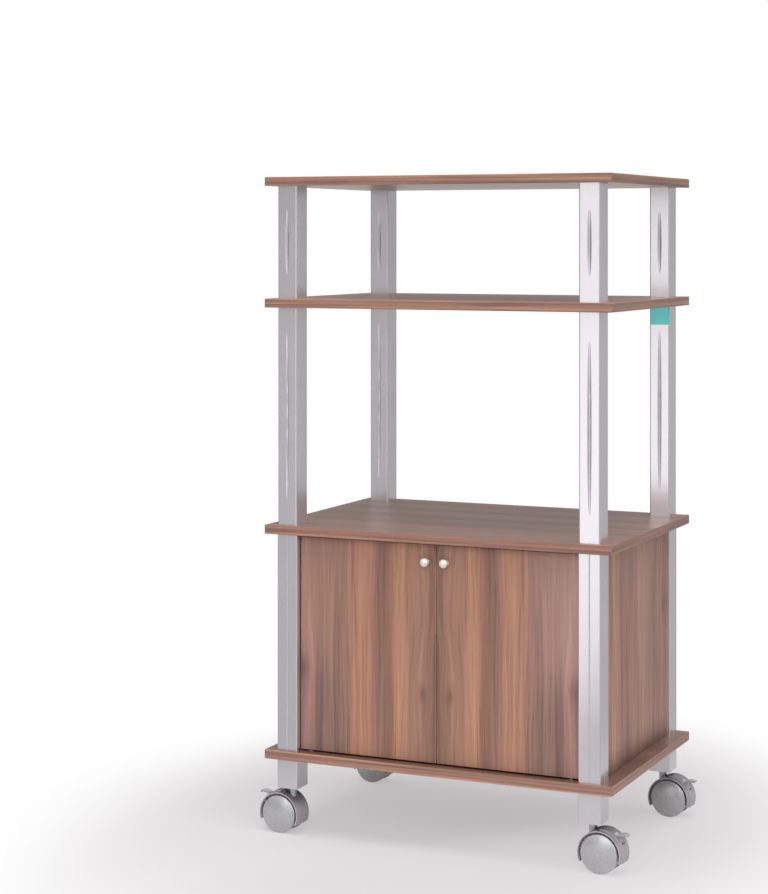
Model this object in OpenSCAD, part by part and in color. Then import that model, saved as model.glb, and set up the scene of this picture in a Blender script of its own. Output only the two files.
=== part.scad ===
// Rolling microwave cart: four boards on silver posts, an upper shelf, an open appliance bay,
// a cupboard with two doors, and four hooded twin-wheel casters with brake levers.
// Millimetres. +X is the viewer's right, +Y goes to the back, +Z is up.
// The origin is on the floor, below the middle of the boards.

/* [Boards] */
// Width of all four boards, left to right
board_w = 650; // [560:5:800]
// Depth of all four boards, front to back
board_d = 450; // [400:5:560]
// Thickness of the top board, upper shelf, worktop and base board
board_t = 16; // [15:1:22]
// Small bevel along every board and panel edge
arris = 0.6; // [0.3:0.1:1.2]

/* [Bays] */
// Clear height between the upper shelf and the top board
top_bay_h = 201; // [160:1:320]
// Clear height between the worktop and the upper shelf
middle_bay_h = 388; // [320:1:480]
// Clear height of the cupboard
cabinet_bay_h = 385; // [300:5:480]
// Length of a leg below the base board
leg_h = 51.5; // [45:0.5:90]

/* [Posts] */
// Width of the top and middle posts
post_w = 38; // [36:0.5:42]
// Depth of the top and middle posts
post_d = 42; // [38:0.5:46]
// Corner radius of the top and middle posts
post_r = 2.5; // [2:0.1:4]
// Wall of every tube
tube_wall = 1.2; // [0.8:0.1:1.6]
// Width of the cupboard posts and legs
cabinet_post_w = 39.5; // [38:0.5:44]
// Depth of the cupboard posts and legs
cabinet_post_d = 43; // [40:0.5:48]
// Corner radius of the cupboard posts and legs
cabinet_post_r = 1.8; // [1.8:0.1:3]
// From the side edge of a board to the middle of a post
post_inset_x = 41.5; // [34:0.5:60]
// From the front or rear edge of a board to the middle of a post
post_inset_y = 29; // [27:0.5:45]
// Width of the pressed spindle flute at its middle
flute_w = 8; // [5:0.5:11]
// Depth of the pressed spindle flute at its middle
flute_depth = 1.2; // [0.6:0.1:1.6]
// Plain length of post above and below a spindle flute
flute_margin = 43; // [35:1:60]
// Width of the rolled groove down each face of a cupboard post
groove_w = 2.6; // [2:0.1:4]
// Depth of the rolled groove
groove_depth = 0.8; // [0.4:0.1:1]

/* [Post joints] */
// Length of a plug in the end of a tube
plug_l = 18; // [14:1:18]
// Diameter of the threaded studs between the tubes
stud_d = 8; // [6:1:10]
// Depth of the blind holes for the studs in the top board
top_stud_depth = 10; // [7:1:11]

/* [Panels] */
// Thickness of the side panels and the back panel
panel_t = 16; // [12:1:18]
// From the outer face of a cupboard post in to the outer face of a panel
panel_recess = 8.5; // [4:0.5:12]
// Diameter of the dowels in the panels
dowel_d = 8; // [6:1:8]
// Length of a dowel
dowel_l = 30; // [25:1:35]
// Depth of a dowel hole in a board
dowel_board_depth = 10; // [8:1:11]
// From the end of a panel to its nearest dowel
dowel_inset = 50; // [30:5:80]

/* [Doors] */
// Thickness of a door
door_t = 16; // [14:1:18]
// From the front face of a cupboard post back to the front face of a door
door_recess = 12; // [8:0.5:14]
// Gap between a door and the post beside it
door_side_gap = 2; // [2:0.25:5]
// Gap below a door
door_bottom_gap = 3; // [3:0.25:6]
// Gap above a door
door_top_gap = 3.5; // [3.5:0.25:6]
// Gap between the two doors
door_seam = 1.5; // [1.5:0.25:4]
// From the hinge edge of a door to the middle of its pivot pins
pivot_inset = 17; // [17:0.5:22]
// Diameter of a pivot pin
pivot_d = 5; // [4:0.5:6]
// Length of a pivot pin inside a board, and inside a door
pivot_grip = 10; // [8:1:12]

/* [Knobs] */
// Diameter of a knob
knob_d = 15; // [12:0.5:20]
// How far a knob stands out from its door
knob_out = 17; // [14:0.5:19]
// Diameter of a knob's neck
knob_neck_d = 8; // [7:0.5:10]
// From the middle of the seam to the middle of a knob
knob_from_seam = 18; // [16:0.5:30]
// From the underside of the worktop down to the middle of a knob
knob_drop = 33.5; // [28:0.5:80]
// Diameter of the screw that holds a knob
knob_screw_d = 4; // [3:0.5:5]

/* [Casters] */
// Height from the floor to the underside of a leg
caster_h = 81.5; // [81:0.5:90]
// Diameter of a wheel
wheel_d = 66; // [60:1:67]
// Width of a wheel's tread
wheel_w = 10.5; // [10:0.5:13]
// How far a wheel's outer face is domed
wheel_dome = 5; // [2:0.5:6]
// Horizontal distance from the stem to the axle
trail = 17.5; // [17:0.5:20]
// Gap between a wheel and the hood round it
hood_gap = 4; // [3:0.1:4.2]
// Wall of the hood over the wheels
hood_wall = 1.8; // [1.6:0.1:3.5]
// Thickness of the hood's web between the two wheels
web_t = 20; // [19.5:0.5:22]
// Diameter of the stem's lower end, on which the hood turns
stem_d = 8; // [7:0.5:9]
// Diameter of the stem's visible neck
neck_d = 14; // [12:0.5:16]
// Diameter of the stem's upper end in its socket
stem_top_d = 11; // [9:0.5:11]
// Length of the socket in a leg
socket_l = 28; // [22:1:30]
// Diameter of an axle
axle_d = 6; // [5:0.5:8]
// Width of the brake lever
lever_w = 12; // [9:0.5:13]
// How far the casters stand turned about their stems
caster_turn = -4; // [-30:1:30]

/* [Hidden] */
CORNERS = ["fl", "fr", "rl", "rr"];
SIDES = ["left", "right"];
FACES = ["front", "rear"];
$fn = 64;

// Clearances: what turns, what is pressed in, what is pushed in by hand, and what only passes
running = 0.05;
pressed = 0.02;
push = 0.2;
loose = 0.3;
eps = 0.01;

// Levels of the boards' undersides, and of the top face of the cart
base_z = caster_h + leg_h;
cabinet_z = base_z + board_t;
worktop_z = cabinet_z + cabinet_bay_h;
middle_z = worktop_z + board_t;
shelf_z = middle_z + middle_bay_h;
top_bay_z = shelf_z + board_t;
top_z = top_bay_z + top_bay_h;

// Middle of the right-hand and rear posts
post_x = board_w/2 - post_inset_x;
post_y = board_d/2 - post_inset_y;
// Clear way between the cupboard posts, and their outer faces
bay_x = post_x - cabinet_post_w/2;
bay_y = post_y - cabinet_post_d/2;
cabinet_out_x = post_x + cabinet_post_w/2;
cabinet_out_y = post_y + cabinet_post_d/2;

// Doors: front face, width, height and pivot
door_front_y = -cabinet_out_y + door_recess;
door_w = bay_x - door_side_gap - door_seam/2;
door_z = cabinet_z + door_bottom_gap;
door_h = worktop_z - door_top_gap - door_z;
pivot_x = bay_x - door_side_gap - pivot_inset;
pivot_y = door_front_y + door_t/2;
bush_wall = 2;
bush_flange_w = 2.5;
bush_flange_t = door_bottom_gap/2;
pin_collar_t = door_bottom_gap - bush_flange_t;
knob_z = worktop_z - knob_drop;
knob_screw_depth = 8;
knob_head_d = 2*knob_screw_d;
knob_head_t = 2.4;

// Door catch under the worktop, and its strikes on the doors
strike_w = 14;
strike_h = 11;
strike_t = 1.5;
strike_x = 12;
strike_z = worktop_z - door_top_gap - 1 - strike_h/2;
strike_pin_d = 3;
strike_pin_l = 9;
catch_w = 2*strike_x + strike_w + 4;
catch_d = 13;
catch_h = 16;

// Casters: radii measured from the axle, which is level with the wheel's centre
wheel_r = wheel_d/2;
well_r = wheel_r + hood_gap;
hood_r = well_r + hood_wall;
spine_r = hood_r + 2.2;
wheel_gap = 0.5;
hood_w = web_t + 2*wheel_gap + 2*wheel_w;
spine_w = lever_w + 14;
wheel_bore_depth = wheel_w;
axle_l = web_t + 2*wheel_gap + 2*wheel_bore_depth - 1;
neck_z = 64;
stem_bore_depth = 24;
lever_edge = -18;
stem_edge = 205;
boss_r = axle_d/2 + 6;
neck_gap = 0.75;
neck_pocket_end = 13;
pocket_w = lever_w - 2;

// ---------------------------------------------------------------- shared shapes

// -1 for a left corner or side, +1 for a right one
function side_x(name) = name[len(name) - 1] == "l" || name == "left" ? -1 : 1;
// -1 for a front corner, +1 for a rear one
function side_y(name) = name[0] == "f" ? -1 : 1;

module at_corner(c) {
    translate([side_x(c)*post_x, side_y(c)*post_y, 0]) children();
}

module at_corners() {
    for (c = CORNERS) at_corner(c) children();
}

// Puts a 2D outline drawn in X and Z in the middle of a slab of width w along Y
module along_y(w) {
    rotate([90, 0, 0]) linear_extrude(w, center = true) children();
}

module rounded_rect(w, d, r) {
    difference() {
        square([w, d], center = true);
        for (x = [-1, 1], y = [-1, 1])
            translate([x*(w/2 - r), y*(d/2 - r)])
                difference() {
                    translate([x > 0 ? 0 : -r - eps, y > 0 ? 0 : -r - eps]) square(r + eps);
                    circle(r);
                }
    }
}

// A slab between two corners, with a small bevel on all twelve edges
module bevelled_slab(low, high) {
    size = high - low;
    translate((low + high)/2) intersection() {
        linear_extrude(size[2], center = true) bevelled_rect(size[0], size[1]);
        rotate([90, 0, 0]) linear_extrude(size[1], center = true) bevelled_rect(size[0], size[2]);
        rotate([90, 0, 90]) linear_extrude(size[0], center = true) bevelled_rect(size[1], size[2]);
    }
}

module bevelled_rect(w, h) {
    x = w/2;
    y = h/2;
    b = arris;
    polygon([[x - b, -y], [x, -y + b], [x, y - b], [x - b, y],
             [b - x, y], [-x, y - b], [-x, b - y], [b - x, -y]]);
}

// A ring sector in 2D, from angle a0 to a1, which are less than 180 degrees apart
module sector(r_in, r_out, a0, a1) {
    far = 2*r_out;
    mid = (a0 + a1)/2;
    intersection() {
        difference() {
            circle(r_out);
            circle(r_in);
        }
        polygon([[0, 0], far*[cos(a0), sin(a0)], far*[cos(mid), sin(mid)], far*[cos(a1), sin(a1)]]);
    }
}

// ---------------------------------------------------------------- boards

module board(z) {
    bevelled_slab([-board_w/2, -board_d/2, z], [board_w/2, board_d/2, z + board_t]);
}

module stud_holes(z, depth) {
    at_corners() translate([0, 0, z]) cylinder(h = depth, d = stud_d + 2*pressed);
}

module pivot_holes(z) {
    for (x = [-1, 1])
        translate([x*pivot_x, pivot_y, z]) cylinder(h = pivot_grip + push, d = pivot_d + 2*pressed);
}

module top_board() {
    color("#8a6353") difference() {
        board(top_z);
        stud_holes(top_z - eps, top_stud_depth + push + eps);
    }
}

module upper_shelf() {
    color("#8a6353") difference() {
        board(shelf_z);
        stud_holes(shelf_z - eps, board_t + 2*eps);
    }
}

module worktop() {
    color("#8a6353") difference() {
        board(worktop_z);
        stud_holes(worktop_z - eps, board_t + 2*eps);
        dowel_places() translate([0, 0, worktop_z - eps]) dowel_hole(dowel_board_depth + push + eps);
        pivot_holes(worktop_z - eps);
    }
}

module base_board() {
    color("#8a6353") difference() {
        board(base_z);
        stud_holes(base_z - eps, board_t + 2*eps);
        dowel_places() translate([0, 0, cabinet_z - dowel_board_depth - push])
            dowel_hole(dowel_board_depth + push + eps);
        pivot_holes(cabinet_z - pivot_grip - push + eps);
    }
}

// ---------------------------------------------------------------- posts and legs

// Radius of the round cutter that leaves a groove of this width and depth
function groove_r(w, depth) = (w*w/4 + depth*depth)/(2*depth);

// A bowed round bar that dips into a face lying in the XZ plane: depth at mid height,
// nothing at the ends of its length. Bar radius r, plus extra for the inside of a wall.
module bowed_bar(w, depth, length, extra) {
    r = groove_r(w, depth);
    bow_r = groove_r(length, depth);
    half_turn = asin((length/2 + 8)/bow_r);
    steps = 24;
    translate([0, depth - r - bow_r, 0]) rotate([0, 90, 0]) rotate([0, 0, 90 - half_turn])
        rotate_extrude(angle = 2*half_turn, $fn = ceil(steps*180/half_turn))
            translate([bow_r, 0]) circle(r + extra, $fn = 48);
}

// Both flutes of a post: on its front face and on its rear face
module flutes(length, extra) {
    for (turn = [0, 180])
        rotate([0, 0, turn]) translate([0, -post_d/2, length/2])
            bowed_bar(flute_w, flute_depth, length - 2*flute_margin, extra);
}

module fluted_post(length) {
    color("#c9c7cb") difference() {
        linear_extrude(length) rounded_rect(post_w, post_d, post_r);
        difference() {
            translate([0, 0, -eps]) linear_extrude(length + 2*eps) post_bore();
            flutes(length, tube_wall);
        }
        flutes(length, 0);
    }
}

module post_bore() {
    rounded_rect(post_w - 2*tube_wall, post_d - 2*tube_wall, post_r - tube_wall);
}

// The four round beads that the rolled grooves leave, with a radius larger by extra
module groove_beads(extra) {
    r = groove_r(groove_w, groove_depth);
    for (s = [-1, 1]) {
        translate([s*(cabinet_post_w/2 + r - groove_depth), 0]) circle(r + extra);
        translate([0, s*(cabinet_post_d/2 + r - groove_depth)]) circle(r + extra);
    }
}

module cabinet_bore(gap) {
    shrink = 2*(tube_wall + gap);
    rounded_rect(cabinet_post_w - shrink, cabinet_post_d - shrink, cabinet_post_r - tube_wall);
}

module grooved_post(length) {
    color("#c9c7cb") linear_extrude(length) difference() {
        rounded_rect(cabinet_post_w, cabinet_post_d, cabinet_post_r);
        groove_beads(0);
        difference() {
            cabinet_bore(0);
            groove_beads(tube_wall);
        }
    }
}

module leg_tube(length) {
    color("#c9c7cb") linear_extrude(length) difference() {
        rounded_rect(cabinet_post_w, cabinet_post_d, cabinet_post_r);
        cabinet_bore(0);
    }
}

// ---------------------------------------------------------------- plugs, studs and sockets

module plug_bore() {
    circle(stud_d/2 + running);
}

// Plug in the end of a top or middle post
module post_plug() {
    linear_extrude(plug_l) difference() {
        rounded_rect(post_w - 2*(tube_wall + push), post_d - 2*(tube_wall + push), post_r - tube_wall);
        plug_bore();
    }
}

// Plug in the end of a cupboard post, notched for the rolled grooves
module cabinet_plug() {
    linear_extrude(plug_l) difference() {
        cabinet_bore(push);
        groove_beads(tube_wall + push);
        plug_bore();
    }
}

module leg_plug() {
    linear_extrude(plug_l) difference() {
        cabinet_bore(push);
        plug_bore();
    }
}

module post_end_plugs() {
    color("#3b3b3e") at_corners() {
        for (z = [middle_z, shelf_z - plug_l, top_bay_z, top_z - plug_l])
            translate([0, 0, z]) post_plug();
        for (z = [cabinet_z, worktop_z - plug_l])
            translate([0, 0, z]) cabinet_plug();
        translate([0, 0, base_z - plug_l]) leg_plug();
    }
}

module connecting_studs() {
    grip = plug_l - 1;
    color("#a9abad") at_corners() {
        for (z = [base_z, worktop_z, shelf_z])
            translate([0, 0, z - grip]) cylinder(h = board_t + 2*grip, d = stud_d);
        translate([0, 0, top_z - grip]) cylinder(h = grip + top_stud_depth, d = stud_d);
    }
}

// Socket pressed into the bottom of a leg
module caster_sockets() {
    color("#3b3b3e") at_corners() translate([0, 0, caster_h]) linear_extrude(socket_l) difference() {
        cabinet_bore(push);
        circle(stem_top_d/2 + running);
    }
}

// ---------------------------------------------------------------- cupboard

module dowel_hole(depth) {
    cylinder(h = depth, d = dowel_d + 2*running);
}

// Middle of each panel's thickness
side_panel_x = cabinet_out_x - panel_recess - panel_t/2;
back_panel_y = cabinet_out_y - panel_recess - panel_t/2;
side_panel_len = 2*bay_y - 2*loose;
back_panel_len = 2*bay_x - 2*loose;

module dowel_places() {
    for (s = [-1, 1]) {
        for (x = [-1, 1])
            translate([x*side_panel_x, s*(side_panel_len/2 - dowel_inset), 0]) children();
        translate([s*(back_panel_len/2 - dowel_inset), back_panel_y, 0]) children();
    }
}

module panel_dowel_holes() {
    depth = dowel_l - dowel_board_depth + push;
    dowel_places() {
        translate([0, 0, cabinet_z - eps]) dowel_hole(depth + eps);
        translate([0, 0, worktop_z - depth]) dowel_hole(depth + eps);
    }
}

module panel_dowels() {
    color("#d8b98a") dowel_places()
        for (z = [cabinet_z - dowel_board_depth, worktop_z + dowel_board_depth - dowel_l])
            translate([0, 0, z]) cylinder(h = dowel_l, d = dowel_d);
}

module side_panel(s) {
    x = side_x(s)*side_panel_x;
    color("#8f6656") difference() {
        bevelled_slab([x - panel_t/2, -side_panel_len/2, cabinet_z],
                      [x + panel_t/2, side_panel_len/2, worktop_z]);
        panel_dowel_holes();
    }
}

module back_panel() {
    color("#8f6656") difference() {
        bevelled_slab([-back_panel_len/2, back_panel_y - panel_t/2, cabinet_z],
                      [back_panel_len/2, back_panel_y + panel_t/2, worktop_z]);
        panel_dowel_holes();
    }
}

// ---------------------------------------------------------------- doors

bush_r = pivot_d/2 + running + bush_wall;
bush_l = pivot_grip + 2;

module door(s) {
    seam_x = door_seam/2;
    low = [seam_x, door_front_y, door_z];
    color("#8f6656") scale_side(s) difference() {
        bevelled_slab(low, low + [door_w, door_t, door_h]);
        for (z = [door_z - eps, door_z + door_h - bush_l - push])
            translate([pivot_x, pivot_y, z]) cylinder(h = bush_l + push + eps, r = bush_r + pressed);
        translate([knob_from_seam, door_front_y - eps, knob_z])
            rotate([-90, 0, 0]) cylinder(h = door_t + 2*eps, d = knob_screw_d + 2*push);
        translate([strike_x, door_front_y + door_t + eps, strike_z])
            rotate([90, 0, 0]) cylinder(h = strike_pin_l + push, d = strike_pin_d + 2*pressed);
    }
}

// Mirrors a right-hand piece to the left where the name asks for it
module scale_side(s) {
    if (side_x(s) < 0) mirror([1, 0, 0]) children();
    else children();
}

// Flanged bush, flange down, standing on z = 0 with its sleeve going up
module pivot_bush() {
    difference() {
        union() {
            cylinder(h = bush_flange_t, r = bush_r + bush_flange_w);
            translate([0, 0, bush_flange_t - eps]) cylinder(h = bush_l + eps, r = bush_r);
        }
        translate([0, 0, -eps]) cylinder(h = bush_l + bush_flange_t + 2*eps, r = pivot_d/2 + running);
    }
}

module door_bushes(s) {
    color("#e8e6e0") scale_side(s) {
        translate([pivot_x, pivot_y, door_z - bush_flange_t]) pivot_bush();
        translate([pivot_x, pivot_y, door_z + door_h + bush_flange_t]) mirror([0, 0, 1]) pivot_bush();
    }
}

// Pin with a collar that carries the bush: grip below z = 0, collar and pin above
module pivot_pin() {
    translate([0, 0, -pivot_grip]) cylinder(h = 2*pivot_grip + door_bottom_gap, d = pivot_d);
    cylinder(h = pin_collar_t, r = bush_r);
}

module door_pivot_pins() {
    color("#a9abad") for (x = [-1, 1]) {
        translate([x*pivot_x, pivot_y, cabinet_z]) pivot_pin();
        translate([x*pivot_x, pivot_y, worktop_z]) mirror([0, 0, 1]) pivot_pin();
    }
}

// Turned knob, axis along -Y, seat on the door's front face
module knob(s) {
    dome_r = knob_d/2;
    neck_l = knob_out*0.45;
    head_l = knob_out - neck_l;
    cap_r = (dome_r*dome_r + head_l*head_l)/(2*head_l) + 1.2;
    color("#cfcfd2") scale_side(s) translate([knob_from_seam, door_front_y, knob_z]) rotate([90, 0, 0])
        rotate_extrude() difference() {
            union() {
                square([knob_neck_d/2, knob_out - 3]);
                square([knob_neck_d/2 + 1.5, 1.2]);
                intersection() {
                    translate([0, neck_l]) square([dome_r, head_l]);
                    translate([0, knob_out - cap_r]) circle(cap_r);
                    translate([0, neck_l + cap_r - 2.5]) circle(cap_r);
                }
            }
            translate([-1, -eps]) square([knob_screw_d/2 + running + 1, knob_screw_depth + push + eps]);
            translate([-knob_d, -eps]) square([knob_d, knob_out + 1]);
        }
}

module knob_screw(s) {
    color("#a9abad") scale_side(s) translate([knob_from_seam, door_front_y + door_t, knob_z])
        rotate([90, 0, 0]) {
            cylinder(h = door_t + knob_screw_depth, d = knob_screw_d);
            translate([0, 0, -knob_head_t]) cylinder(h = knob_head_t, d = knob_head_d);
        }
}

// Magnetic catch under the worktop, just behind the doors
module door_catch() {
    y = door_front_y + door_t + strike_t + loose;
    color("#6a5a50") difference() {
        translate([-catch_w/2, y, worktop_z - catch_h]) cube([catch_w, catch_d, catch_h]);
        for (x = [-1, 1])
            translate([x*strike_x - 2, y - eps, worktop_z - catch_h - eps]) cube([4, 1.5, catch_h - 3]);
    }
}

// Strike plate on the back of a door, held by its own drive pin
module strike_plate(s) {
    color("#b5b7b9") scale_side(s)
        translate([strike_x, door_front_y + door_t, strike_z]) rotate([90, 0, 0]) {
            difference() {
                translate([-strike_w/2, -strike_h/2, -strike_t]) cube([strike_w, strike_h, strike_t]);
                translate([0, 0, -strike_t - eps]) cylinder(h = strike_t/3 + eps, d = 2*strike_pin_d);
            }
            cylinder(h = strike_pin_l, d = strike_pin_d);
        }
}

// ---------------------------------------------------------------- casters
// Each caster is drawn with its stem at x = y = 0 and its axle at x = trail, and is then
// turned so that it trails outwards, to the left under the left legs.

module at_caster(c) {
    at_corner(c) rotate([0, 0, caster_turn + (side_x(c) < 0 ? 180 : 0)]) children();
}

module at_axle() {
    translate([trail, 0, wheel_r]) children();
}

module caster_stems() {
    top = caster_h + socket_l - 2;
    color("#b9bbbe") at_corners() rotate_extrude() {
        translate([0, neck_z - stem_bore_depth]) square([stem_d/2, stem_bore_depth]);
        translate([0, neck_z]) square([neck_d/2, caster_h - neck_z]);
        translate([0, caster_h]) square([stem_top_d/2, top - caster_h]);
    }
}

// Everything the hood keeps: from the edge on the lever side over the top to the stem side
module hood_side() {
    far = 2*spine_r;
    polygon([[0, 0], far*[cos(lever_edge), sin(lever_edge)], [far, far], [-far, far],
             far*[cos(stem_edge), sin(stem_edge)]]);
}

pivot_a = 50;
lever_pivot_r = wheel_r - 0.5;
lever_pin_d = 4;
shoe_a = [30, 36];
lever_a = [28, 58];

module hood_pocket_2d() {
    sector(wheel_r - 4, spine_r - 1.5, lever_a[0] - 3, lever_a[1] + 3);
}

module caster_hood(c) {
    neck_hole_r = neck_d/2 + neck_gap;
    color("#77777c") at_caster(c) difference() {
        at_axle() union() {
            along_y(hood_w) intersection() {
                hood_side();
                circle(hood_r);
            }
            along_y(spine_w) sector(boss_r, spine_r, lever_edge, 91);
            along_y(web_t) circle(boss_r);
        }
        // Wheel wells
        at_axle() for (s = [-1, 1])
            translate([0, s*(web_t/2 + hood_w/2), 0]) along_y(hood_w) circle(well_r);
        // Bore for the stem, and the open pocket round its neck
        translate([0, 0, neck_z - stem_bore_depth - push])
            cylinder(h = stem_bore_depth + spine_r, d = stem_d + 2*running);
        translate([0, 0, neck_z]) linear_extrude(spine_r) {
            translate([neck_pocket_end - neck_hole_r, 0]) circle(neck_hole_r);
            translate([-spine_r, -neck_hole_r])
                square([spine_r + neck_pocket_end - neck_hole_r, 2*neck_hole_r]);
        }
        // Axle hole
        at_axle() along_y(2*hood_w) circle(axle_d/2 + pressed);
        // Slot, pivot hole and shoe window of the brake lever
        at_axle() along_y(lever_w + 2*loose)
            sector(wheel_r + 1, spine_r + 2, lever_a[0] - 2.5, lever_a[1] + 1);
        at_axle() along_y(pocket_w + 2*loose) hood_pocket_2d();
        at_axle() rotate([0, -pivot_a, 0]) translate([lever_pivot_r, 0, 0])
            along_y(web_t + 2) circle(lever_pin_d/2 + running);
        at_axle() along_y(web_t + 2) sector(wheel_r - 0.6, well_r + eps, shoe_a[0] - 5, shoe_a[1] + 5);
    }
}

module caster_axle(c) {
    color("#b9bbbe") at_caster(c) at_axle() along_y(axle_l) circle(axle_d/2);
}

// Wheel profile: radius along x, width from the web side at y = 0 to the top of the dome
module wheel_profile() {
    total = wheel_w + wheel_dome;
    edge_r = 1.5;
    flank_r = wheel_r - edge_r;
    crown_r = (flank_r*flank_r + wheel_dome*wheel_dome)/(2*wheel_dome);
    difference() {
        intersection() {
            union() {
                intersection() {
                    square([flank_r, total]);
                    translate([0, total - crown_r]) circle(crown_r, $fn = 360);
                }
                square([wheel_r, wheel_w - edge_r]);
                translate([flank_r, wheel_w - edge_r]) circle(edge_r);
            }
            square([wheel_r, total]);
        }
        // Hollow between the hub and the rim, open to the web
        translate([10, -eps]) square([wheel_r - 15, wheel_w - 2.5 + eps]);
        // Blind bore for the axle
        translate([-1, -eps]) square([axle_d/2 + running + 1, wheel_bore_depth + eps]);
    }
}

module wheel_body() {
    rotate_extrude($fn = 96) wheel_profile();
    for (a = [0:60:300])
        rotate([0, 0, a]) translate([9.5, -0.9, 0.8]) cube([wheel_r - 14, 1.8, wheel_w - 3]);
}

module caster_wheel(c, f) {
    // The wheel that faces the front is on the other side of a caster turned half round
    s = (f == "front" ? -1 : 1)*(side_x(c) < 0 ? -1 : 1);
    color("#a9aaac") at_caster(c) at_axle() rotate([s > 0 ? -90 : 90, 0, 0])
        translate([0, 0, web_t/2 + wheel_gap]) wheel_body();
}

// Brake lever: a cap flush with the spine, a thumb tab, a lug on a cross pin, and a shoe
// that lies over both treads and is pressed on them when the tab is trodden down
module brake_lever(c) {
    tab_r = 22;
    tab_t = 3.5;
    color("#6b6b70") at_caster(c) at_axle() {
        along_y(lever_w) sector(well_r + 0.8, spine_r, lever_a[0], lever_a[1]);
        along_y(pocket_w) sector(wheel_r - 1.5, well_r + 1.4, shoe_a[0], lever_a[1] - 1);
        rotate([0, -pivot_a, 0]) translate([lever_pivot_r, 0, 0]) along_y(web_t - 1) circle(lever_pin_d/2);
        along_y(web_t + 2*wheel_w - 6) sector(wheel_r + 1.6, well_r - loose, shoe_a[0], shoe_a[1]);
        translate([spine_r - 2, 0, spine_r - 5.5 - tab_r]) along_y(lever_w) {
            sector(tab_r - tab_t, tab_r, 74, 135);
            rotate(74.5) translate([tab_r - tab_t/2, 0]) circle(tab_t/2 + 0.25);
        }
    }
}

// ---------------------------------------------------------------- output

top_board();
upper_shelf();
worktop();
base_board();
for (c = CORNERS) {
    at_corner(c) translate([0, 0, top_bay_z]) fluted_post(top_bay_h);
    at_corner(c) translate([0, 0, middle_z]) fluted_post(middle_bay_h);
    at_corner(c) translate([0, 0, cabinet_z]) grooved_post(cabinet_bay_h);
    at_corner(c) translate([0, 0, caster_h]) leg_tube(leg_h);
    caster_hood(c);
    caster_axle(c);
    caster_wheel(c, "front");
    caster_wheel(c, "rear");
    brake_lever(c);
}
for (s = SIDES) {
    side_panel(s);
    door(s);
    knob(s);
    knob_screw(s);
    door_bushes(s);
    strike_plate(s);
}
back_panel();
door_pivot_pins();
door_catch();
post_end_plugs();
connecting_studs();
panel_dowels();
caster_sockets();
caster_stems();
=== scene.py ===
import math

import bmesh
import bpy
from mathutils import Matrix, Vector

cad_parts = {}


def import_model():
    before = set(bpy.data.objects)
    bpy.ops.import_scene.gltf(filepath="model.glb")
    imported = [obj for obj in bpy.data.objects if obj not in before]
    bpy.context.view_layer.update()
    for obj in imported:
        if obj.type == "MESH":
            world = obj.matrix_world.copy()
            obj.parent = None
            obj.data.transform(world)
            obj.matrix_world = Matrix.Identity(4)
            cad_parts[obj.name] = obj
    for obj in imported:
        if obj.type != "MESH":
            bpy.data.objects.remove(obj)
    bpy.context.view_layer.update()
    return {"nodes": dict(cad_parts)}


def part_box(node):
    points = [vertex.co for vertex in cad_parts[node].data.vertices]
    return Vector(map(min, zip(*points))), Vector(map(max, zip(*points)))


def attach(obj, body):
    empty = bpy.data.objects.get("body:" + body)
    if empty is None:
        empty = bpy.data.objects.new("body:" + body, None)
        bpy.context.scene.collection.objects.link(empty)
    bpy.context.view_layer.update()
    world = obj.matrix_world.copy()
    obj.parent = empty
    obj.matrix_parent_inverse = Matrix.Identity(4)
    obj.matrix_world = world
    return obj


# A kitchen cart of walnut-faced boards on silver posts, with a two-door cupboard and four
# twin-wheel casters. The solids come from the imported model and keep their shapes. This script
# gives them their materials, and makes the small film tab on one post, the floor, the light and
# the camera. Lengths are in metres, colours are display colours of 0 to 255, and lamps in watts.

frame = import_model()
nodes = frame["nodes"]

CORNERS = ("fl", "fr", "rl", "rr")
X, Y = 0, 1


# ---------------------------------------------------------------- writing materials as formulas

def rgb(r, g, b):
    """A display colour of 0 to 255 as the linear colour that shaders take."""
    def linear(v):
        v /= 255.0
        return v / 12.92 if v <= 0.04045 else ((v + 0.055) / 1.055) ** 2.4
    return (linear(r), linear(g), linear(b), 1.0)


class Num:
    """A number that varies over the surface. Arithmetic on it makes the nodes."""

    def __init__(self, net, socket):
        self.net, self.socket = net, socket

    def __add__(self, other):
        return self.net.math("ADD", self, other)

    def __radd__(self, other):
        return self.net.math("ADD", other, self)

    def __sub__(self, other):
        return self.net.math("SUBTRACT", self, other)

    def __rsub__(self, other):
        return self.net.math("SUBTRACT", other, self)

    def __mul__(self, other):
        return self.net.math("MULTIPLY", self, other)

    def __rmul__(self, other):
        return self.net.math("MULTIPLY", other, self)

    def __truediv__(self, other):
        return self.net.math("DIVIDE", self, other)

    def __abs__(self):
        return self.net.math("ABSOLUTE", self)


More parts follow.
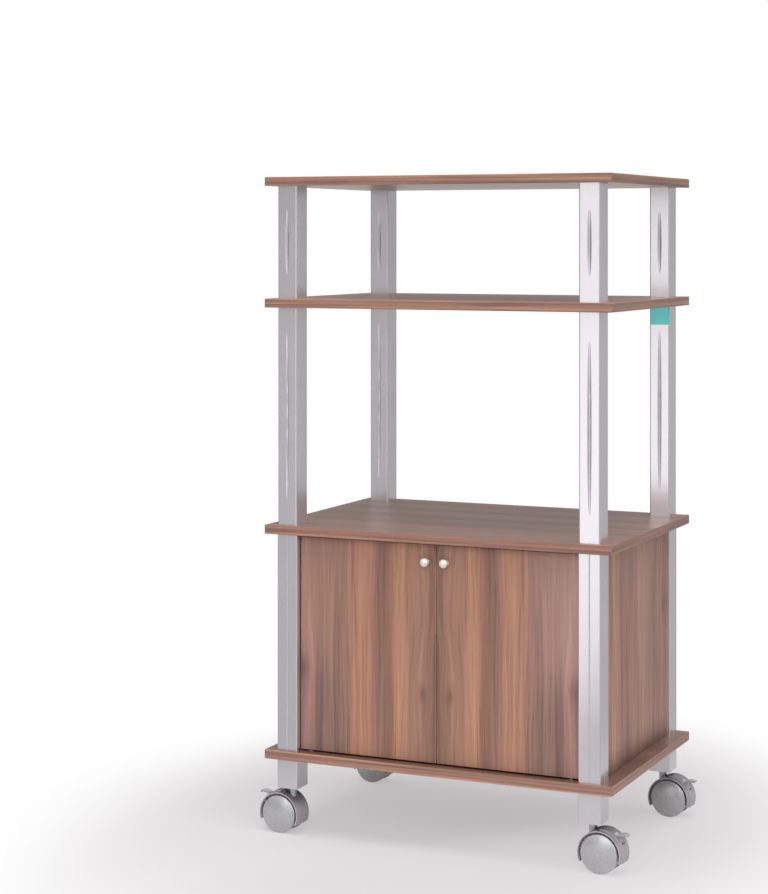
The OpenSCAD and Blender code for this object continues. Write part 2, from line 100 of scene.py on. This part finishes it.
class Net:
    """The node tree of a material or of the world."""

    # a normal's part along an axis from which the surface counts as facing that way
    FACING = (0.70, 0.72)
    # the places of the two colours and of the result among the sockets of a Mix node
    MIX_A, MIX_B, MIX_OUT = 6, 7, 2
    # the dot product of the true and the rounded normal where wear starts and where it is full
    WEAR = (0.995, 0.86)

    def __init__(self, tree):
        self.tree = tree
        tree.nodes.clear()

    def new(self, kind, **settings):
        node = self.tree.nodes.new(kind)
        for name, value in settings.items():
            setattr(node, name, value)
        return node

    def put(self, value, socket):
        """Links a value to a socket, or sets it there where it is a plain number or colour."""
        if isinstance(value, Num):
            self.tree.links.new(value.socket, socket)
        elif isinstance(value, bpy.types.NodeSocket):
            self.tree.links.new(value, socket)
        else:
            socket.default_value = value

    def math(self, operation, *values):
        node = self.new("ShaderNodeMath", operation=operation)
        for value, socket in zip(values, node.inputs):
            self.put(value, socket)
        return Num(self, node.outputs[0])

    def bell(self, x, width):
        """1 where x is 0, falling to nothing a few widths away."""
        return self.math("EXPONENT", self.math("POWER", abs(x / width), 2.0) * -1.0)

    def smooth(self, x, low, high):
        """0 below low, 1 above high, smooth between; the other way round if low is the greater."""
        node = self.new("ShaderNodeMapRange", interpolation_type="SMOOTHSTEP")
        down = low > high
        self.put(x, node.inputs["Value"])
        node.inputs["From Min"].default_value = min(low, high)
        node.inputs["From Max"].default_value = max(low, high)
        node.inputs["To Min"].default_value = 1.0 if down else 0.0
        node.inputs["To Max"].default_value = 0.0 if down else 1.0
        return Num(self, node.outputs["Result"])

    def vector(self, x, y, z):
        node = self.new("ShaderNodeCombineXYZ")
        for value, socket in zip((x, y, z), node.inputs):
            self.put(value, socket)
        return node.outputs[0]

    def parts(self, socket):
        node = self.new("ShaderNodeSeparateXYZ")
        self.tree.links.new(socket, node.inputs[0])
        return [Num(self, out) for out in node.outputs]

    def noise(self, where, scale=1.0, detail=2.0, rough=0.5):
        """Noise about 0.5 at a place that is a vector or three numbers."""
        node = self.new("ShaderNodeTexNoise")
        self.put(self.vector(*where) if isinstance(where, tuple) else where, node.inputs["Vector"])
        node.inputs["Scale"].default_value = scale
        node.inputs["Detail"].default_value = detail
        node.inputs["Roughness"].default_value = rough
        return Num(self, node.outputs["Fac"])

    def sway(self, where, reach):
        """Slow noise about 0, at most half of reach either way."""
        return (self.noise(where) - 0.5) * reach

    def ramp(self, x, stops):
        """The colour at x in a row of stops, each a place from 0 to 1 with its display colour."""
        node = self.new("ShaderNodeValToRGB")
        band = node.color_ramp
        while len(band.elements) < len(stops):
            band.elements.new(0.5)
        for element, (place, colour) in zip(band.elements, stops):
            element.position = place
            element.color = rgb(*colour)
        self.put(x, node.inputs[0])
        return node.outputs["Color"]

    def mix(self, share, a, b, how="MIX"):
        node = self.new("ShaderNodeMix", data_type="RGBA", blend_type=how)
        self.put(share, node.inputs[0])
        self.put(a, node.inputs[self.MIX_A])
        self.put(b, node.inputs[self.MIX_B])
        return node.outputs[self.MIX_OUT]

    def tint(self, colour, *marks):
        """The colour with marks laid on in turn, each a share and a display colour."""
        for share, tone in marks:
            colour = self.mix(share, colour, rgb(*tone))
        return colour

    def shade(self, colour, x):
        """The colour times the number x."""
        return self.mix(1.0, colour, self.vector(x, x, x), "MULTIPLY")

    def bump(self, height, depth, strength):
        node = self.new("ShaderNodeBump")
        node.inputs["Strength"].default_value = strength
        node.inputs["Distance"].default_value = depth
        self.put(height, node.inputs["Height"])
        return node.outputs[0]

    def edges(self, radius):
        """1 on sharp outer edges and in corners, 0 on flat ground."""
        soft = self.new("ShaderNodeBevel", samples=4)
        soft.inputs["Radius"].default_value = radius
        flat = self.new("ShaderNodeNewGeometry")
        dot = self.new("ShaderNodeVectorMath", operation="DOT_PRODUCT")
        self.tree.links.new(soft.outputs[0], dot.inputs[0])
        self.tree.links.new(flat.outputs["Normal"], dot.inputs[1])
        return self.smooth(Num(self, dot.outputs["Value"]), *self.WEAR)

    def place(self):
        """Object coordinates and the object's own normal, each as three numbers."""
        node = self.new("ShaderNodeTexCoord")
        return self.parts(node.outputs["Object"]), self.parts(node.outputs["Normal"])

    def faces(self, n):
        """1 where the surface faces along the axis of this part of its normal, either way."""
        return self.smooth(abs(n), *self.FACING)

    def rays(self, *kinds):
        """1 for light rays of these kinds, 0 for all others."""
        path = self.new("ShaderNodeLightPath")
        seen = [Num(self, path.outputs[f"Is {kind} Ray"]) for kind in kinds]
        most = seen[0]
        for one in seen[1:]:
            most = self.math("MAXIMUM", most, one)
        return most

    def surface(self, colour, rough, normal, **fixed):
        """Ends a material. fixed are the shader's sockets that are the same all over."""
        node = self.new("ShaderNodeBsdfPrincipled")
        out = self.new("ShaderNodeOutputMaterial")
        self.put(colour, node.inputs["Base Color"])
        self.put(rough, node.inputs["Roughness"])
        self.put(normal, node.inputs["Normal"])
        for name, value in fixed.items():
            node.inputs[name].default_value = value
        self.tree.links.new(node.outputs[0], out.inputs[0])


def material(name):
    made = bpy.data.materials.new(name)
    made.use_nodes = True
    return made, Net(made.node_tree)


# ---------------------------------------------------------------- walnut-grain foil

DOOR_WIDTH = 0.2620
SIDE_WIDTH, BACK_WIDTH = 0.352, 0.560
BOARD_DEPTH = 0.450
PANEL_ROUGH, BOARD_ROUGH = 0.36, 0.32

# places on a door, each as far from the seam and as far above the floor: its two knots, the dark
# heart of the outer one, and the middles of the arch and of the rings that meet at the seam
SEAM_KNOT, POST_KNOT = (0.026, 0.270), (0.257, 0.296)
POST_HEART = (0.258, 0.298)
ARCH, RINGS = (0.0, 0.400), (0.0, 0.340)

# the foil's tones across a door, from the seam to the post
DOOR_BANDS = [
    (0.000, (122, 90, 78)), (0.040, (142, 106, 90)), (0.100, (158, 116, 98)),
    (0.190, (160, 117, 97)), (0.235, (174, 128, 102)), (0.300, (173, 126, 100)),
    (0.330, (152, 108, 91)), (0.370, (140, 101, 87)), (0.430, (143, 105, 92)),
    (0.460, (168, 120, 99)), (0.560, (174, 124, 100)), (0.640, (160, 118, 101)),
    (0.670, (146, 110, 98)), (0.800, (148, 113, 100)), (0.905, (145, 109, 97)),
    (0.940, (168, 128, 115)), (0.980, (161, 122, 111)), (1.000, (153, 115, 107)),
]

# the same across a fixed panel; its darker first stop, at the edge beside a post, is darker wood
# and painted shade from the post
SIDE_BANDS = [
    (0.000, (140, 105, 96)), (0.060, (160, 121, 106)), (0.130, (180, 132, 110)),
    (0.190, (192, 140, 116)), (0.260, (168, 125, 107)), (0.340, (158, 117, 104)),
    (0.400, (160, 121, 108)), (0.480, (162, 120, 106)), (0.560, (177, 133, 114)),
    (0.690, (172, 130, 114)), (0.800, (160, 122, 110)), (0.860, (154, 118, 107)),
    (0.930, (172, 128, 112)), (1.000, (162, 119, 106)),
]

# the same across the faces of a board, and up its edges
BOARD_BANDS = [
    (0.000, (166, 122, 104)), (0.120, (158, 116, 100)), (0.230, (138, 102, 90)),
    (0.340, (164, 120, 101)), (0.470, (174, 128, 106)), (0.580, (146, 108, 95)),
    (0.680, (160, 117, 99)), (0.800, (170, 125, 104)), (0.900, (142, 106, 94)),
    (1.000, (162, 119, 102)),
]
EDGE_BANDS = [
    (0.30, (120, 87, 77)), (0.45, (142, 104, 90)), (0.56, (154, 114, 98)), (0.70, (174, 132, 110)),
]


def grain(net, across, along, deep, seed, flow):
    """Streaks that run along the board: fine, middle and broad ones and pores, each about 0.5."""
    a = across + flow

    def streaks(per_across, per_along, per_deep, start, detail, rough):
        """Noise with this many streaks to a metre in each direction."""
        where = (a * per_across, along * per_along + start, deep * per_deep)
        return net.noise(where, detail=detail, rough=rough)

    return (streaks(300.0, 5.0, 300.0, seed, 3.0, 0.65),
            streaks(120.0, 3.4, 120.0, seed * 1.7, 3.0, 0.6),
            streaks(30.0, 0.9, 12.0, seed * 0.6, 2.0, 0.5),
            streaks(900.0, 26.0, 900.0, seed, 2.0, 0.7))


def wood_surface(net, colour, streaks, rough):
    """Puts the streaks on a board's base colour, and gives the foil its satin lacquer."""
    fine, middle, broad, pores = streaks
    colour = net.shade(colour, 0.86 + net.smooth(fine, 0.30, 0.70) * 0.28)
    colour = net.shade(colour, 0.88 + net.smooth(middle, 0.28, 0.72) * 0.24)
    dark_line = net.smooth(fine * 0.6 + middle * 0.4, 0.44, 0.33)
    pore = net.smooth(pores, 0.40, 0.28)
    pale = net.smooth(broad, 0.50, 0.72)
    edge = net.edges(0.0011)
    colour = net.tint(colour, (dark_line * 0.42, (100, 72, 62)), (pore * 0.28, (92, 66, 56)),
                      (pale * 0.25, (178, 134, 108)), (edge * 0.18, (196, 160, 138)))
    bumps = net.bump(pore * -0.6 + fine * 0.5, depth=0.00006, strength=0.55)
    net.surface(colour, rough + fine * 0.08 + edge * 0.10, bumps)


def knot(net, a, z, heart, wide, tall):
    """How near a point is to a knot, 1 at its heart."""
    across, along = (a - heart[0]) / wide, (z - heart[1]) / tall
    return net.math("EXPONENT", (across * across + along * along) * -1.0)


def door_material():
    """The doors are cut from one sheet, book-matched about the seam between them."""
    made, net = material("walnut_doors")
    (x, y, z), (nx, _, _) = net.place()
    a = abs(x)

    # the grain wanders, bends round the knots and rises in an arch at the seam
    wander = net.sway((a * 14.0, z * 3.2, 4.7), 0.016) + net.sway((a * 60.0, z * 6.0, 2.2), 0.0045)
    near_seam = knot(net, a, z, SEAM_KNOT, 0.017, 0.055) * (a - SEAM_KNOT[0])
    near_post = knot(net, a, z, POST_KNOT, 0.018, 0.055) * (a - POST_KNOT[0])
    arch = knot(net, a, z, ARCH, 0.030, 0.110) * (z - 0.290) * 0.10
    flow = wander + (near_seam * -0.95 + near_post * -0.66) + arch
    streaks = grain(net, a, z, y, 3.1, flow)
    fine, middle, _, _ = streaks
    patch = net.noise((a * 26.0, z * 5.5, 9.3))
    torn = net.smooth(middle * 0.5 + fine * 0.5, 0.62, 0.40)

    # narrow rings above the seam's knot, and the dark heart of the figure further out
    ring = net.math("SINE", (a + flow * 0.4) * 598.0 - 0.85) * 0.5 + 0.5
    ring = ring * knot(net, a, z, RINGS, 0.030, 0.160)
    core = net.bell(a + flow - 0.106 - (0.42 - z) * 0.08, 0.0078) * net.smooth(z, 0.27, 0.36)
    core = core * net.smooth(patch, 0.26, 0.50) * (0.45 + torn * 0.55)
    # the broad dark band low down by the post, and the darker wood along the seam
    low = net.bell(a + flow - 0.217, 0.0225) * net.smooth(z, 0.370, 0.260)
    low = low * net.smooth(patch, 0.10, 0.42) * (0.70 + torn * 0.30)
    seam = net.bell(a, 0.0085) * net.smooth(z, 0.18, 0.34)
    heart = knot(net, a, z, SEAM_KNOT, 0.0070, 0.015) + knot(net, a, z, POST_HEART, 0.0120, 0.024)
    # a faint painted haze of light towards the right post, and on the upright edges a lighter band
    # that is partly edge banding and partly painted light against the shade in the gaps
    painted_haze = net.smooth(x, 0.14, 0.26) * net.smooth(z, 0.24, 0.40)
    edge_band_and_painted_light = net.faces(nx)

    colour = net.tint(net.ramp((a + flow) / DOOR_WIDTH, DOOR_BANDS),
                      (ring * 0.42, (106, 76, 64)), (core * 0.20, (118, 82, 68)),
                      (low * 0.85, (108, 84, 84)), (seam * 0.42, (98, 72, 62)),
                      (heart * 0.72, (96, 72, 68)), (painted_haze * 0.09, (220, 208, 212)),
                      (edge_band_and_painted_light * 0.85, (214, 176, 152)))
    wood_surface(net, colour, streaks, PANEL_ROUGH)
    return made


def panel_material(name, across_axis, deep_axis, width, seed):
    """A fixed panel: grain up and down, with its own figure, and painted shade just above the base
    board.
    """
    made, net = material(name)
    place, _ = net.place()
    a, deep, z = place[across_axis], place[deep_axis], place[2]
    eye = (width * 0.46, 0.390)
    bulge = knot(net, a, z, eye, 0.016, 0.045) * (a - eye[0]) * -0.8
    flow = net.sway((a * 11.0, z * 2.6, seed), 0.022) + bulge
    streaks = grain(net, a, z, deep, seed, flow)
    _, middle, _, _ = streaks
    colour = net.ramp((a + flow) / width + 0.5, SIDE_BANDS)
    colour = net.shade(colour, 0.92 + net.smooth(middle, 0.30, 0.70) * 0.16)
    patch = net.noise((a * 22.0, z * 4.0, seed + 2.0))
    dark = net.bell(a + flow + width * 0.13, 0.010) * net.smooth(z, 0.46, 0.30)
    dark = dark * net.smooth(patch, 0.25, 0.55)
    heart = knot(net, a, z, eye, 0.009, 0.020)
    colour = net.tint(colour, (dark * 0.55, (116, 94, 94)), (heart * 0.6, (98, 84, 78)))
    # painted shade at the foot of the panel, where less light reaches it above the base board
    painted_foot_shade = net.smooth(z, 0.198, 0.150) * 0.34 + net.smooth(z, 0.168, 0.150) * 0.16
    wood_surface(net, net.shade(colour, 1.0 - painted_foot_shade), streaks, PANEL_ROUGH)
    return made


def board_material(name, seed, painted_edge_light, painted_face_shade):
    """A board: grain from left to right on faces and front edge, and along the side edges."""
    made, net = material(name)
    (x, y, z), (nx, _, nz) = net.place()
    side, flat = net.faces(nx), net.faces(nz)
    along = x + (y - x) * side
    across = y + (x - y) * side
    wander = net.sway((along * 3.0, across * 9.0, seed), 0.030)
    streaks = grain(net, across, along, z, seed, wander * flat)
    field = (across + wander) / BOARD_DEPTH + 0.5
    colour = net.ramp(net.math("FRACT", field * 1.7 + seed * 0.37), BOARD_BANDS)
    # the front and side edges carry a band of straighter grain, lit or shaded per board by painted
    # light
    streak = net.noise((along * 1.6, seed, z * 210.0), rough=0.55)
    edge = net.shade(net.ramp(streak, EDGE_BANDS), painted_edge_light)
    # the faces get the board's painted shade
    wood_surface(net, net.mix(flat, edge, net.shade(colour, painted_face_shade)), streaks, BOARD_ROUGH)
    return made


# ---------------------------------------------------------------- metal and plastic

def silver_material(name, fluted):
    """Silver paint on steel tube: fine flake, faint draw lines, and scuffs near the floor."""
    made, net = material(name)
    (x, y, z), _ = net.place()
    here = net.vector(x, y, z)
    flake = net.noise(here, 2600.0)
    drawn = net.noise((x * 620.0, y * 620.0, z * 3.0))
    cloud = net.noise(here, 14.0)
    colour = net.mix(cloud, rgb(230, 226, 231), rgb(236, 232, 237))
    colour = net.shade(colour, 0.965 + flake * 0.05 + drawn * 0.02)
    scuff = net.noise((x * 60.0, y * 60.0, z * 190.0), detail=4.0, rough=0.7)
    scuff = net.smooth(scuff, 0.66, 0.74) * net.smooth(z, 0.30, 0.08)
    edge = net.edges(0.0011)
    colour = net.tint(colour, (scuff * 0.35, (150, 148, 150)), (edge * 0.25, (238, 238, 240)))
    if fluted:
        # less light gets down to the bottom of the pressed flutes, on all four upper posts
        low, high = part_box("top_post_fr")
        beside = abs(abs(x) - (low.x + high.x) / 2)
        below = (high.y - low.y) / 2 - abs(abs(y) + (low.y + high.y) / 2)
        flute = net.smooth(beside, 0.0048, 0.0040) * net.smooth(below, 0.0004, 0.0011)
        colour = net.shade(colour, 1.0 - flute * 0.24)
    rough = 0.145 + flake * 0.05 + cloud * 0.04 + scuff * 0.20
    bumps = net.bump(flake * 0.6 + drawn * 0.4, depth=0.00003, strength=0.4)
    net.surface(colour, rough, bumps, Metallic=0.86)
    return made


def zinc_material():
    """Zinc-plated steel with a mottled, slightly uneven polish."""
    made, net = material("zinc_plate")
    (x, y, z), _ = net.place()
    spangle = net.noise((x, y, z), 260.0, 3.0, 0.6)
    lines = net.noise((x * 900.0, y * 900.0, z * 160.0))
    colour = net.mix(spangle, rgb(176, 178, 182), rgb(214, 216, 218))
    colour = net.shade(colour, 0.97 + lines * 0.05)
    colour = net.tint(colour, (net.edges(0.0004) * 0.25, (240, 240, 240)))
    bumps = net.bump(lines, depth=0.00002, strength=0.5)
    net.surface(colour, 0.26 + spangle * 0.10, bumps, Metallic=1.0)
    return made


def plastic_material(name, tone, rough, depth=0.00005, worn=None, metal=0.0, painted_top_shade=0.0):
    """A moulded plastic: fine spark-eroded grain, uneven in tone, paler where it is rubbed, and
    with painted shade on its upward faces where asked.
    """
    made, net = material(name)
    (x, y, z), (_, _, up) = net.place()
    here = net.vector(x, y, z)
    fine = net.noise(here, 1400.0)
    cloud = net.noise(here, 55.0, 3.0)
    colour = net.shade(rgb(*tone), 0.93 + cloud * 0.10 + fine * 0.04)
    if painted_top_shade:
        # painted shade on the upward faces, which lie in the shade of what is above them
        colour = net.shade(colour, 1.0 - net.smooth(up, 0.25, 0.85) * painted_top_shade)
    worn = worn or tuple(min(255, t + 34) for t in tone)
    dust = net.smooth(net.noise(here, 160.0, 4.0, 0.7), 0.56, 0.74)
    colour = net.tint(colour, (net.edges(0.0007) * 0.30, worn), (dust * 0.10, (176, 172, 170)))
    rough = rough + fine * 0.04 + dust * 0.10
    net.surface(colour, rough, net.bump(fine, depth=depth, strength=0.6), Metallic=metal)
    return made


def raw_wood_material():
    """Turned beech dowel with short flecks."""
    made, net = material("beech_dowel")
    (x, y, z), _ = net.place()
    fleck = net.noise((x * 700.0, y * 700.0, z * 120.0), detail=3.0, rough=0.6)
    colour = net.mix(net.smooth(fleck, 0.35, 0.65), rgb(196, 160, 118), rgb(224, 196, 156))
    net.surface(colour, 0.62 + fleck * 0.1, net.bump(fleck, depth=0.00008, strength=0.6))
    return made


def film_material():
    """Thin coloured film, a little cloudy, with the sheen of the bright paint behind it."""
    made, net = material("film")
    (x, y, z), _ = net.place()
    here = net.vector(x, y, z)
    cloud = net.noise(here, 120.0, 3.0)
    fine = net.noise(here, 1500.0)
    # the colour is set brighter than the film's own, painted light that makes up for the shade
    # under the upper shelf
    colour = net.mix(cloud, rgb(116, 238, 239), rgb(128, 242, 243))
    colour = net.shade(colour, 0.97 + fine * 0.05)
    bumps = net.bump(cloud * 0.5 + fine * 0.5, depth=0.00002, strength=0.5)
    net.surface(colour, 0.22 + fine * 0.08, bumps, Metallic=0.30)
    return made


def dress(made, *names):
    """Gives the named solids this material in every slot that they have."""
    for name in names:
        mesh = nodes[name].data
        if not mesh.materials:
            mesh.materials.append(made)
        for i in range(len(mesh.materials)):
            mesh.materials[i] = made


# each board: where its figure starts, and the painted light on its edges and the painted shade on
# its faces, for how much light reaches that board
for board, seed, painted_edge_light, painted_face_shade in (("base_board", 1.3, 1.21, 0.46),
                                          ("worktop", 2.9, 0.97, 0.57),
                                          ("upper_shelf", 4.2, 0.98, 0.76),
                                          ("top_board", 6.6, 0.90, 0.86)):
    dress(board_material(f"walnut_{board}", seed, painted_edge_light, painted_face_shade), board)

dress(door_material(), "left_door", "right_door")
dress(panel_material("walnut_side_panels", across_axis=Y, deep_axis=X, width=SIDE_WIDTH, seed=5.4),
      "left_side_panel", "right_side_panel")
dress(panel_material("walnut_back_panel", across_axis=X, deep_axis=Y, width=BACK_WIDTH, seed=8.8),
      "back_panel")
dress(raw_wood_material(), "panel_dowels")
dress(zinc_material(), "left_knob_screw", "right_knob_screw", "left_strike_plate",
      "right_strike_plate", "door_pivot_pins", "connecting_studs", "caster_stems",
      *(f"caster_axle_{corner}" for corner in CORNERS))
dress(plastic_material("satin_knob", (240, 232, 226), 0.26, worn=(244, 238, 232), metal=0.35),
      "left_knob", "right_knob")
dress(plastic_material("brown_bush", (92, 72, 64), 0.46), "left_door_bushes", "right_door_bushes")
dress(plastic_material("brown_catch", (110, 84, 72), 0.44), "door_catch")
dress(plastic_material("black_plug", (46, 46, 48), 0.50), "post_end_plugs", "caster_sockets")

fluted_paint = silver_material("silver_paint_fluted", fluted=True)
plain_paint = silver_material("silver_paint", fluted=False)
# the hoods get painted shade on their tops, which lie under the base board
hood = plastic_material("caster_hood_grey", (180, 175, 180), 0.42, metal=0.10, painted_top_shade=0.56)
wheel = plastic_material("caster_wheel_grey", (194, 194, 196), 0.23, depth=0.000003, metal=0.52)
lever = plastic_material("brake_lever_grey", (176, 172, 176), 0.34, metal=0.25)
for corner in CORNERS:
    dress(fluted_paint, f"top_post_{corner}", f"middle_post_{corner}")
    dress(plain_paint, f"cabinet_post_{corner}", f"leg_{corner}")
    dress(hood, f"caster_hood_{corner}")
    dress(wheel, f"caster_wheel_{corner}_front", f"caster_wheel_{corner}_rear")
    dress(lever, f"brake_lever_{corner}")


# ---------------------------------------------------------------- film tab on the rear right post

FILM_TALL, FILM_THICK = 0.0340, 0.00018
FILM_DROP = 0.0012                        # how far below the upper shelf it starts
FILM_START, FILM_END = -0.0180, 0.0192    # along the post's outline, from the middle of its front
FILM_ROUND = 0.0016                       # the radius of its own corners
FILM_STEPS = 48
POST_ROUND = 0.0025                       # the radius of the post's edges


def new_object(name, mesh, made):
    """Turns mesh code into an object with one material."""
    data = bpy.data.meshes.new(name)
    mesh.to_mesh(data)
    mesh.free()
    data.materials.append(made)
    obj = bpy.data.objects.new(name, data)
    bpy.context.scene.collection.objects.link(obj)
    return obj


def film_tab():
    """A plain film tab on the front of the post, its sides bent round the post's edges."""
    low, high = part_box("middle_post_rr")
    middle, face, top = (low.x + high.x) / 2, low.y, high.z - FILM_DROP
    flat = (high.x - low.x) / 2 - POST_ROUND

    def point(s, lift):
        """The place at s along the post's outline, lifted off it."""
        turn = max(abs(s) - flat, 0.0) / POST_ROUND
        out = POST_ROUND + lift
        reach = min(abs(s), flat) + out * math.sin(turn)
        return middle + math.copysign(reach, s), face + POST_ROUND - out * math.cos(turn)

    mesh = bmesh.new()
    rows = []
    for step in range(FILM_STEPS + 1):
        part = 0.5 - 0.5 * math.cos(math.pi * step / FILM_STEPS)
        s = FILM_START + (FILM_END - FILM_START) * part
        inside = max(FILM_ROUND - min(s - FILM_START, FILM_END - s), 0.0)
        cut = FILM_ROUND - math.sqrt(max(FILM_ROUND * FILM_ROUND - inside * inside, 0.0))
        upper, lower = top - cut, top - FILM_TALL + cut
        corners = ((0.0, upper), (FILM_THICK, upper), (FILM_THICK, lower), (0.0, lower))
        rows.append([mesh.verts.new((*point(s, lift), height)) for lift, height in corners])
    for one, two in zip(rows, rows[1:]):
        for i in range(4):
            mesh.faces.new((one[i], one[(i + 1) % 4], two[(i + 1) % 4], two[i]))
    mesh.faces.new(rows[0][::-1])
    mesh.faces.new(rows[-1])
    bmesh.ops.recalc_face_normals(mesh, faces=mesh.faces)
    return new_object("film_tab", mesh, film_material())


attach(film_tab(), "cart")


# ---------------------------------------------------------------- floor, light and camera

AMBIENT = 0.62                            # the even light of the room on everything
WHITE = (1.0, 1.0, 1.0, 1.0)

FLOOR_HALF = 40.0
FLOOR_EYE = 0.05                          # directions over the floor start this high at its middle

CAMERA_PLACE = (1.468, -3.637, 1.062)
CAMERA_TURN = 24.549                      # degrees to the left of straight back
CAMERA_LENS, CAMERA_SHIFT = 86.764, -0.2337
SENSOR_WIDE, SENSOR_TALL = 24.0, 36.0


def room(net, dx, dy, dz, plain=1.0, lit=1.0, dip=0.19, fade=0.44):
    """How bright the room looks in gloss towards a direction.

    The ceiling is bright, and so is a zone in front, most of all in a strip at its left border.
    The rest has an even level, but it is lower to the left of the zone, and at the back it is
    lower above the horizon and higher below it. plain scales the even level and lit the zone, dip
    is how much lower the left is, and fade how much dimmer the zone is beside its strip.
    """
    slope = dx / net.math("MAXIMUM", abs(dy), 0.05)
    in_front = net.smooth(dy, 0.05, -0.05)
    zone = net.smooth(slope, -0.425, -0.365) * net.smooth(slope, -0.06, -0.20)
    left = net.smooth(slope, -0.365, -0.425) * in_front
    back = net.smooth(slope, -1.3, -1.0) * net.smooth(slope, 0.22, 0.04)
    back = back * (1.0 - in_front) * (net.smooth(dz, 0.01, -0.02) * 0.62 - 0.12)
    level = 0.42 - left * dip + back
    ceiling = net.smooth(dz + in_front * 0.25, 0.28, 0.46)
    ceiling = ceiling * (1.05 + in_front * 0.60 - left * 1.30)
    zone = zone * in_front * (0.85 * lit - net.smooth(slope, -0.325, -0.300) * fade)
    return level * plain + net.math("MAXIMUM", zone, ceiling)


def floor():
    """A pale floor with the cart's shadow that turns into the white background further out."""
    mesh = bmesh.new()
    bmesh.ops.create_grid(mesh, x_segments=2, y_segments=2, size=FLOOR_HALF)
    made, net = material("floor")
    (x, y, z), _ = net.place()
    away = net.math("SQRT", x * x + y * y)
    beside = net.smooth(x, 0.05, 0.60) * 0.18 + net.smooth(x, -0.42, -0.75) * 0.14
    far = net.smooth(away + beside, 0.45, 1.05)

    # the matt floor, which takes the light and the shadow
    matt = net.new("ShaderNodeBsdfDiffuse")
    faint = net.noise((x, y, z), 3.0)
    net.put(net.mix(faint, rgb(223, 220, 221), rgb(227, 224, 225)), matt.inputs["Color"])

    # its own glow: white far out, and in gloss as bright as the room and pale close by
    lit = 0.79 + net.smooth(away, 3.3, 4.3) * 0.20
    glow = room(net, x, y, z - FLOOR_EYE, plain=1.10, lit=lit, dip=0.03, fade=0.0)
    pale = 0.75 - net.smooth(y, -0.30, -0.10) * 0.08 - net.smooth(x, -0.05, -0.25) * 0.16
    glow = glow + net.smooth(away, 1.10, 0.55) * (pale - glow)
    white = net.new("ShaderNodeEmission")
    net.put(net.mix(far, rgb(223, 219, 221), WHITE), white.inputs["Color"])
    net.put(1.0 - net.rays("Glossy") * (1.0 - glow), white.inputs["Strength"])

    # the share of the glow, for the rays that show the floor; the others only meet the matt one
    # the share grows towards the front right, which paints the cart's shadow lighter there
    share = 0.62 + net.smooth(x - y * 0.8, 0.0, 0.30) * 0.20
    share = (share + far * (1.0 - share)) * net.rays("Camera", "Glossy", "Transmission")
    join = net.new("ShaderNodeMixShader")
    net.put(share, join.inputs[0])
    net.tree.links.new(matt.outputs[0], join.inputs[1])
    net.tree.links.new(white.outputs[0], join.inputs[2])
    out = net.new("ShaderNodeOutputMaterial")
    net.tree.links.new(join.outputs[0], out.inputs[0])
    new_object("floor", mesh, made)


def world():
    """Even light on everything, a white background, and in gloss the bright and dim room."""
    made = bpy.data.worlds.new("studio")
    made.use_nodes = True
    net = Net(made.node_tree)
    dx, dy, dz = net.parts(net.new("ShaderNodeTexCoord").outputs["Generated"])
    gloss = net.rays("Glossy")
    plain = net.rays("Camera", "Transmission")
    others = 1.0 - net.math("MAXIMUM", plain, gloss)
    sky = net.new("ShaderNodeBackground")
    sky.inputs["Color"].default_value = WHITE
    net.put(plain + gloss * room(net, dx, dy, dz) + others * AMBIENT, sky.inputs["Strength"])
    out = net.new("ShaderNodeOutputWorld")
    net.tree.links.new(sky.outputs[0], out.inputs[0])
    bpy.context.scene.world = made


def lamp(name, place, aim, wide, tall, watts):
    """A soft lamp that shows neither to the camera nor in gloss."""
    data = bpy.data.lights.new(name, "AREA")
    data.shape = "RECTANGLE"
    data.size, data.size_y, data.energy = wide, tall, watts
    obj = bpy.data.objects.new(name, data)
    obj.location = place
    obj.rotation_euler = (Vector(aim) - Vector(place)).to_track_quat("-Z", "Y").to_euler()
    bpy.context.scene.collection.objects.link(obj)
    obj.visible_glossy = False
    obj.visible_camera = False


def camera():
    """Upright sensor and shifted lens, so that the verticals stay upright."""
    data = bpy.data.cameras.new("camera")
    data.sensor_fit = "VERTICAL"
    data.sensor_width, data.sensor_height = SENSOR_WIDE, SENSOR_TALL
    data.lens, data.shift_y = CAMERA_LENS, CAMERA_SHIFT
    data.clip_start, data.clip_end = 0.1, 200.0
    obj = bpy.data.objects.new("camera", data)
    obj.location = CAMERA_PLACE
    obj.rotation_euler = (math.radians(90.0), 0.0, math.radians(CAMERA_TURN))
    bpy.context.scene.collection.objects.link(obj)
    bpy.context.scene.camera = obj


floor()
world()
lamp("overhead", place=(0.25, -0.55, 3.0), aim=(0.0, 0.0, 0.5), wide=2.2, tall=1.8, watts=62.0)
lamp("front", place=(0.9, -3.4, 2.3), aim=(0.0, 0.0, 0.6), wide=2.4, tall=1.6, watts=38.0)
camera()

bpy.context.scene.view_settings.view_transform = "Standard"

bpy.context.view_layer.update()
